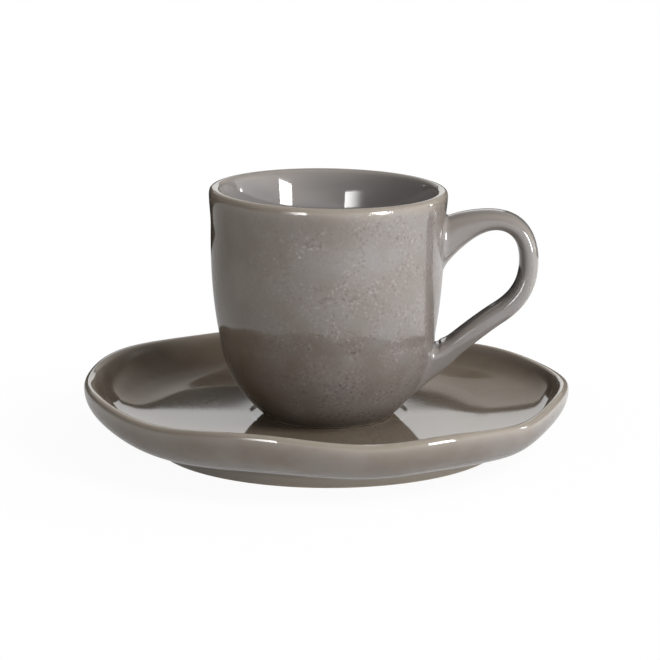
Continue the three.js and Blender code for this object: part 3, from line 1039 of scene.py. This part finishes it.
def floor_material(tone):
    """A pale floor that keeps a faint shadow near the object and is as white as the room further out."""
    material, tree = bare_material("pale floor")
    matt = add_node(tree, "ShaderNodeBsdfDiffuse", (-300, 0))
    matt.inputs["Color"].default_value = (*tone, 1)
    white = add_node(tree, "ShaderNodeEmission", (-300, -200))
    faint = add_node(tree, "ShaderNodeMixShader", (0, -150))
    feed(tree, faint.inputs[0], far_from_middle(tree, (-500, -300), *SHADOW_REACH, *SHADOW_WHITE))
    feed(tree, faint.inputs[1], matt.outputs[0])
    feed(tree, faint.inputs[2], white.outputs[0])
    at = place_of(tree, (-700, -600), "Object")
    pool = spread(tree, (-500, -600), at["X"], *POOL_SIDES, *POOL_LIGHT)
    edge = spread(tree, (-500, -750), at["Y"], *POOL_BACK)
    pool = math_node(tree, (-300, -650), "MULTIPLY", pool, edge)
    shade = far_from_middle(tree, (-500, -900), *SHADE_REACH, *SHADE_LIGHT)
    behind = spread(tree, (-500, -1100), at["Y"], *BEHIND_REACH, *BEHIND_LIGHT)
    shade = math_node(tree, (-300, -900), "MULTIPLY", shade, behind)
    glow = add_node(tree, "ShaderNodeEmission", (-150, -600))
    feed(tree, glow.inputs["Strength"], math_node(tree, (-200, -700), "MULTIPLY", pool, shade))
    shader = seen_as(tree, (300, 0), matt.outputs[0], glow.outputs[0], faint.outputs[0])
    feed(tree, tree.nodes["Material Output"].inputs["Surface"], shader)
    return material


def ceiling_cloth(dark, light):
    """A dark ceiling with a lighter field behind the object, which fades forwards and to the sides."""
    material, tree = bare_material("ceiling cloth")
    at = place_of(tree, (-900, 0), "Object")
    outer = far_from_middle(tree, (-500, 500), *FIELD_OUT, 0.0, 1.0)
    right = spread(tree, (-500, 300), at["X"], *FIELD_SIDES, *FRONT_FIELD)
    front = spread(tree, (-500, -200), at["Y"], *FIELD_FRONT)
    front = math_node(tree, (-300, 400), "MULTIPLY", front, outer)
    front = math_node(tree, (-150, 400), "MULTIPLY", front, right)
    back = math_node(tree, (-500, 100), "MULTIPLY_ADD", at["Y"], *BACK_FIELD)
    back = math_node(tree, (-400, 100), "MAXIMUM", back, 0.0)
    near_side = math_node(tree, (-500, 0), "LESS_THAN", at["Y"], FIELD_BACK)
    back = math_node(tree, (-300, 100), "MULTIPLY", back, near_side)
    sideways = math_node(tree, (-700, -400), "ABSOLUTE", at["X"])
    inward = spread(tree, (-500, -400), sideways, *FIELD_WIDTH)
    back = math_node(tree, (-200, 100), "MULTIPLY", back, inward)
    field = math_node(tree, (-150, 0), "ADD", front, back)
    glow = add_node(tree, "ShaderNodeEmission", (150, 0))
    glow.inputs["Color"].default_value = CEILING_TINT
    strength = math_node(tree, (0, 0), "MULTIPLY_ADD", field, light - dark, dark)
    feed(tree, glow.inputs["Strength"], strength)
    feed(tree, tree.nodes["Material Output"].inputs["Surface"], glow.outputs[0])
    return material


def lamp_cloth(name, near, far):
    """The lit front of a card, whose strength goes from one side of it to the other."""
    material, tree = bare_material(name)
    across = place_of(tree, (-700, 0), "Generated")["X"]
    glow = add_node(tree, "ShaderNodeEmission", (-250, 0))
    feed(tree, glow.inputs["Strength"], spread(tree, (-500, 0), across, 0.0, 1.0, near, far))
    feed(tree, tree.nodes["Material Output"].inputs["Surface"], glow.outputs[0])
    return material


def gloss_only(name, corners, material):
    """A card outside the picture that shows in the gloss and does nothing else."""
    card = add_mesh(name, np.array(corners), [(0, 1, 2, 3)])
    card.data.materials.append(material)
    card.visible_camera = False
    card.visible_diffuse = False
    card.visible_shadow = False
    return card


def studio_card(name, azimuth, distance, width, top, near, far):
    """An upright card that stands on the floor and faces the object, from an azimuth in degrees."""
    half = width / 2
    corners = [(-half, 0, 0), (half, 0, 0), (half, top, 0), (-half, top, 0)]
    card = gloss_only(name, corners, lamp_cloth(name + " cloth", near, far))
    turn = math.radians(azimuth)
    card.location = (distance * math.sin(turn), -distance * math.cos(turn), 0)
    card.rotation_euler = (math.pi / 2, 0, turn + math.pi)


def soft_lamp(name, azimuth, elevation, distance, width, height, power):
    """A lamp with a wide front, which lights the object and doesn't show in its gloss."""
    data = bpy.data.lights.new(name, "AREA")
    data.shape = "RECTANGLE"
    data.size = width
    data.size_y = height
    data.energy = power
    lamp = bpy.data.objects.new(name, data)
    turn = math.radians(azimuth)
    rise = math.radians(elevation)
    away = Vector((math.sin(turn) * math.cos(rise), -math.cos(turn) * math.cos(rise), math.sin(rise)))
    lamp.location = distance * away
    lamp.rotation_mode = "QUATERNION"
    lamp.rotation_quaternion = away.to_track_quat("Z", "Y")
    lamp.visible_glossy = False
    bpy.context.scene.collection.objects.link(lamp)


def level_square():
    """Corners of the wide level square that the floor and the ceiling are."""
    half = STAGE_HALF
    return np.array([(-half, -half, 0), (half, -half, 0), (half, half, 0), (-half, half, 0)])


def aimed_camera(place, aim, lens):
    data = bpy.data.cameras.new("camera")
    data.lens = lens
    camera = bpy.data.objects.new("camera", data)
    camera.location = place
    camera.rotation_mode = "QUATERNION"
    camera.rotation_quaternion = (Vector(aim) - Vector(place)).to_track_quat("-Z", "Y")
    bpy.context.scene.collection.objects.link(camera)
    bpy.context.scene.camera = camera


class CUPSAUCER_OT_stage(bpy.types.Operator):
    """Set the camera, the pale floor, the white room, the soft boxes and the black cards"""

    bl_idname = "cupsaucer.stage"
    bl_label = "Set Stage"

    def execute(self, context):
        look = context.scene.stage_look
        context.scene.view_settings.view_transform = "Standard"
        aimed_camera(PICTURE_FOOT + CAMERA_STAND, PICTURE_FOOT + CAMERA_AIM, look.camera_lens)
        white_room(look.room_light)
        floor = add_mesh("floor", level_square(), [(0, 1, 2, 3)])
        floor.data.materials.append(floor_material(look.floor_tone))
        ceiling = gloss_only("dark_ceiling", level_square(), ceiling_cloth(CEILING_DARK, CEILING_LIGHT))
        ceiling.location.z = CEILING_HEIGHT
        box = look.box_light
        studio_card("black_wall", 180, 2.3, 8.0, 0.62, BLACK, BLACK)
        studio_card("backdrop", 180, 2.2, 0.7, 0.605, BACKDROP_LIGHT, BACKDROP_LIGHT)
        studio_card("low_black_card", 180, 2.1, 8.0, 0.3, BLACK, BLACK)
        studio_card("right_soft_box", 51, 0.9, 0.235, 0.362, box, box)
        studio_card("left_soft_box", -31, 0.9, 0.36, 0.365, 0.5 * box, 0.02 * box)
        studio_card("rim_strip", 114, 0.9, 0.04, 0.172, 0.6 * box, 0.6 * box)
        studio_card("left_flag", -85, 0.9, 1.5, 0.4, FLAG_LIGHT, FLAG_LIGHT)
        soft_lamp("right_lamp", 62, 40, 1.0, 0.5, 0.5, look.lamp_power)
        soft_lamp("low_lamp", 40, 6, 1.0, 0.4, 0.1, 0.45 * look.lamp_power)
        soft_lamp("top_lamp", 0, 80, 1.0, 0.5, 0.5, 0.15 * look.lamp_power)
        soft_lamp("left_lamp", -75, 25, 1.0, 0.5, 0.5, 0.08 * look.lamp_power)
        return {"FINISHED"}


class CUPSAUCER_PT_panel(bpy.types.Panel):
    """Makes each piece of the cup and saucer, and the stage"""

    bl_idname = "CUPSAUCER_PT_panel"
    bl_label = "Cup and Saucer"
    bl_space_type = "VIEW_3D"
    bl_region_type = "UI"
    bl_category = "Cup and Saucer"

    def draw(self, context):
        for operator in OPERATORS:
            self.layout.operator(operator.bl_idname)
        for settings in SETTINGS:
            group = getattr(context.scene, settings)
            box = self.layout.box()
            box.label(text=type(group).__doc__)
            for name in type(group).__annotations__:
                box.prop(group, name)


SETTINGS = {
    "saucer_sizes": SaucerSizes,
    "cup_sizes": CupSizes,
    "handle_sizes": HandleSizes,
    "glaze_look": GlazeLook,
    "stage_look": StageLook,
}
OPERATORS = (CUPSAUCER_OT_saucer, CUPSAUCER_OT_cup_body, CUPSAUCER_OT_cup_handle, CUPSAUCER_OT_stage)


def register():
    for settings, group in SETTINGS.items():
        bpy.utils.register_class(group)
        setattr(bpy.types.Scene, settings, PointerProperty(type=group))
    for operator in OPERATORS:
        bpy.utils.register_class(operator)
    bpy.utils.register_class(CUPSAUCER_PT_panel)


def unregister():
    bpy.utils.unregister_class(CUPSAUCER_PT_panel)
    for operator in reversed(OPERATORS):
        bpy.utils.unregister_class(operator)
    for settings, group in SETTINGS.items():
        delattr(bpy.types.Scene, settings)
        bpy.utils.unregister_class(group)


def main():
    register()
    bpy.ops.cupsaucer.saucer()
    bpy.ops.cupsaucer.cup_body()
    bpy.ops.cupsaucer.cup_handle()
    bpy.ops.cupsaucer.stage()


if __name__ == "__main__":
    main()
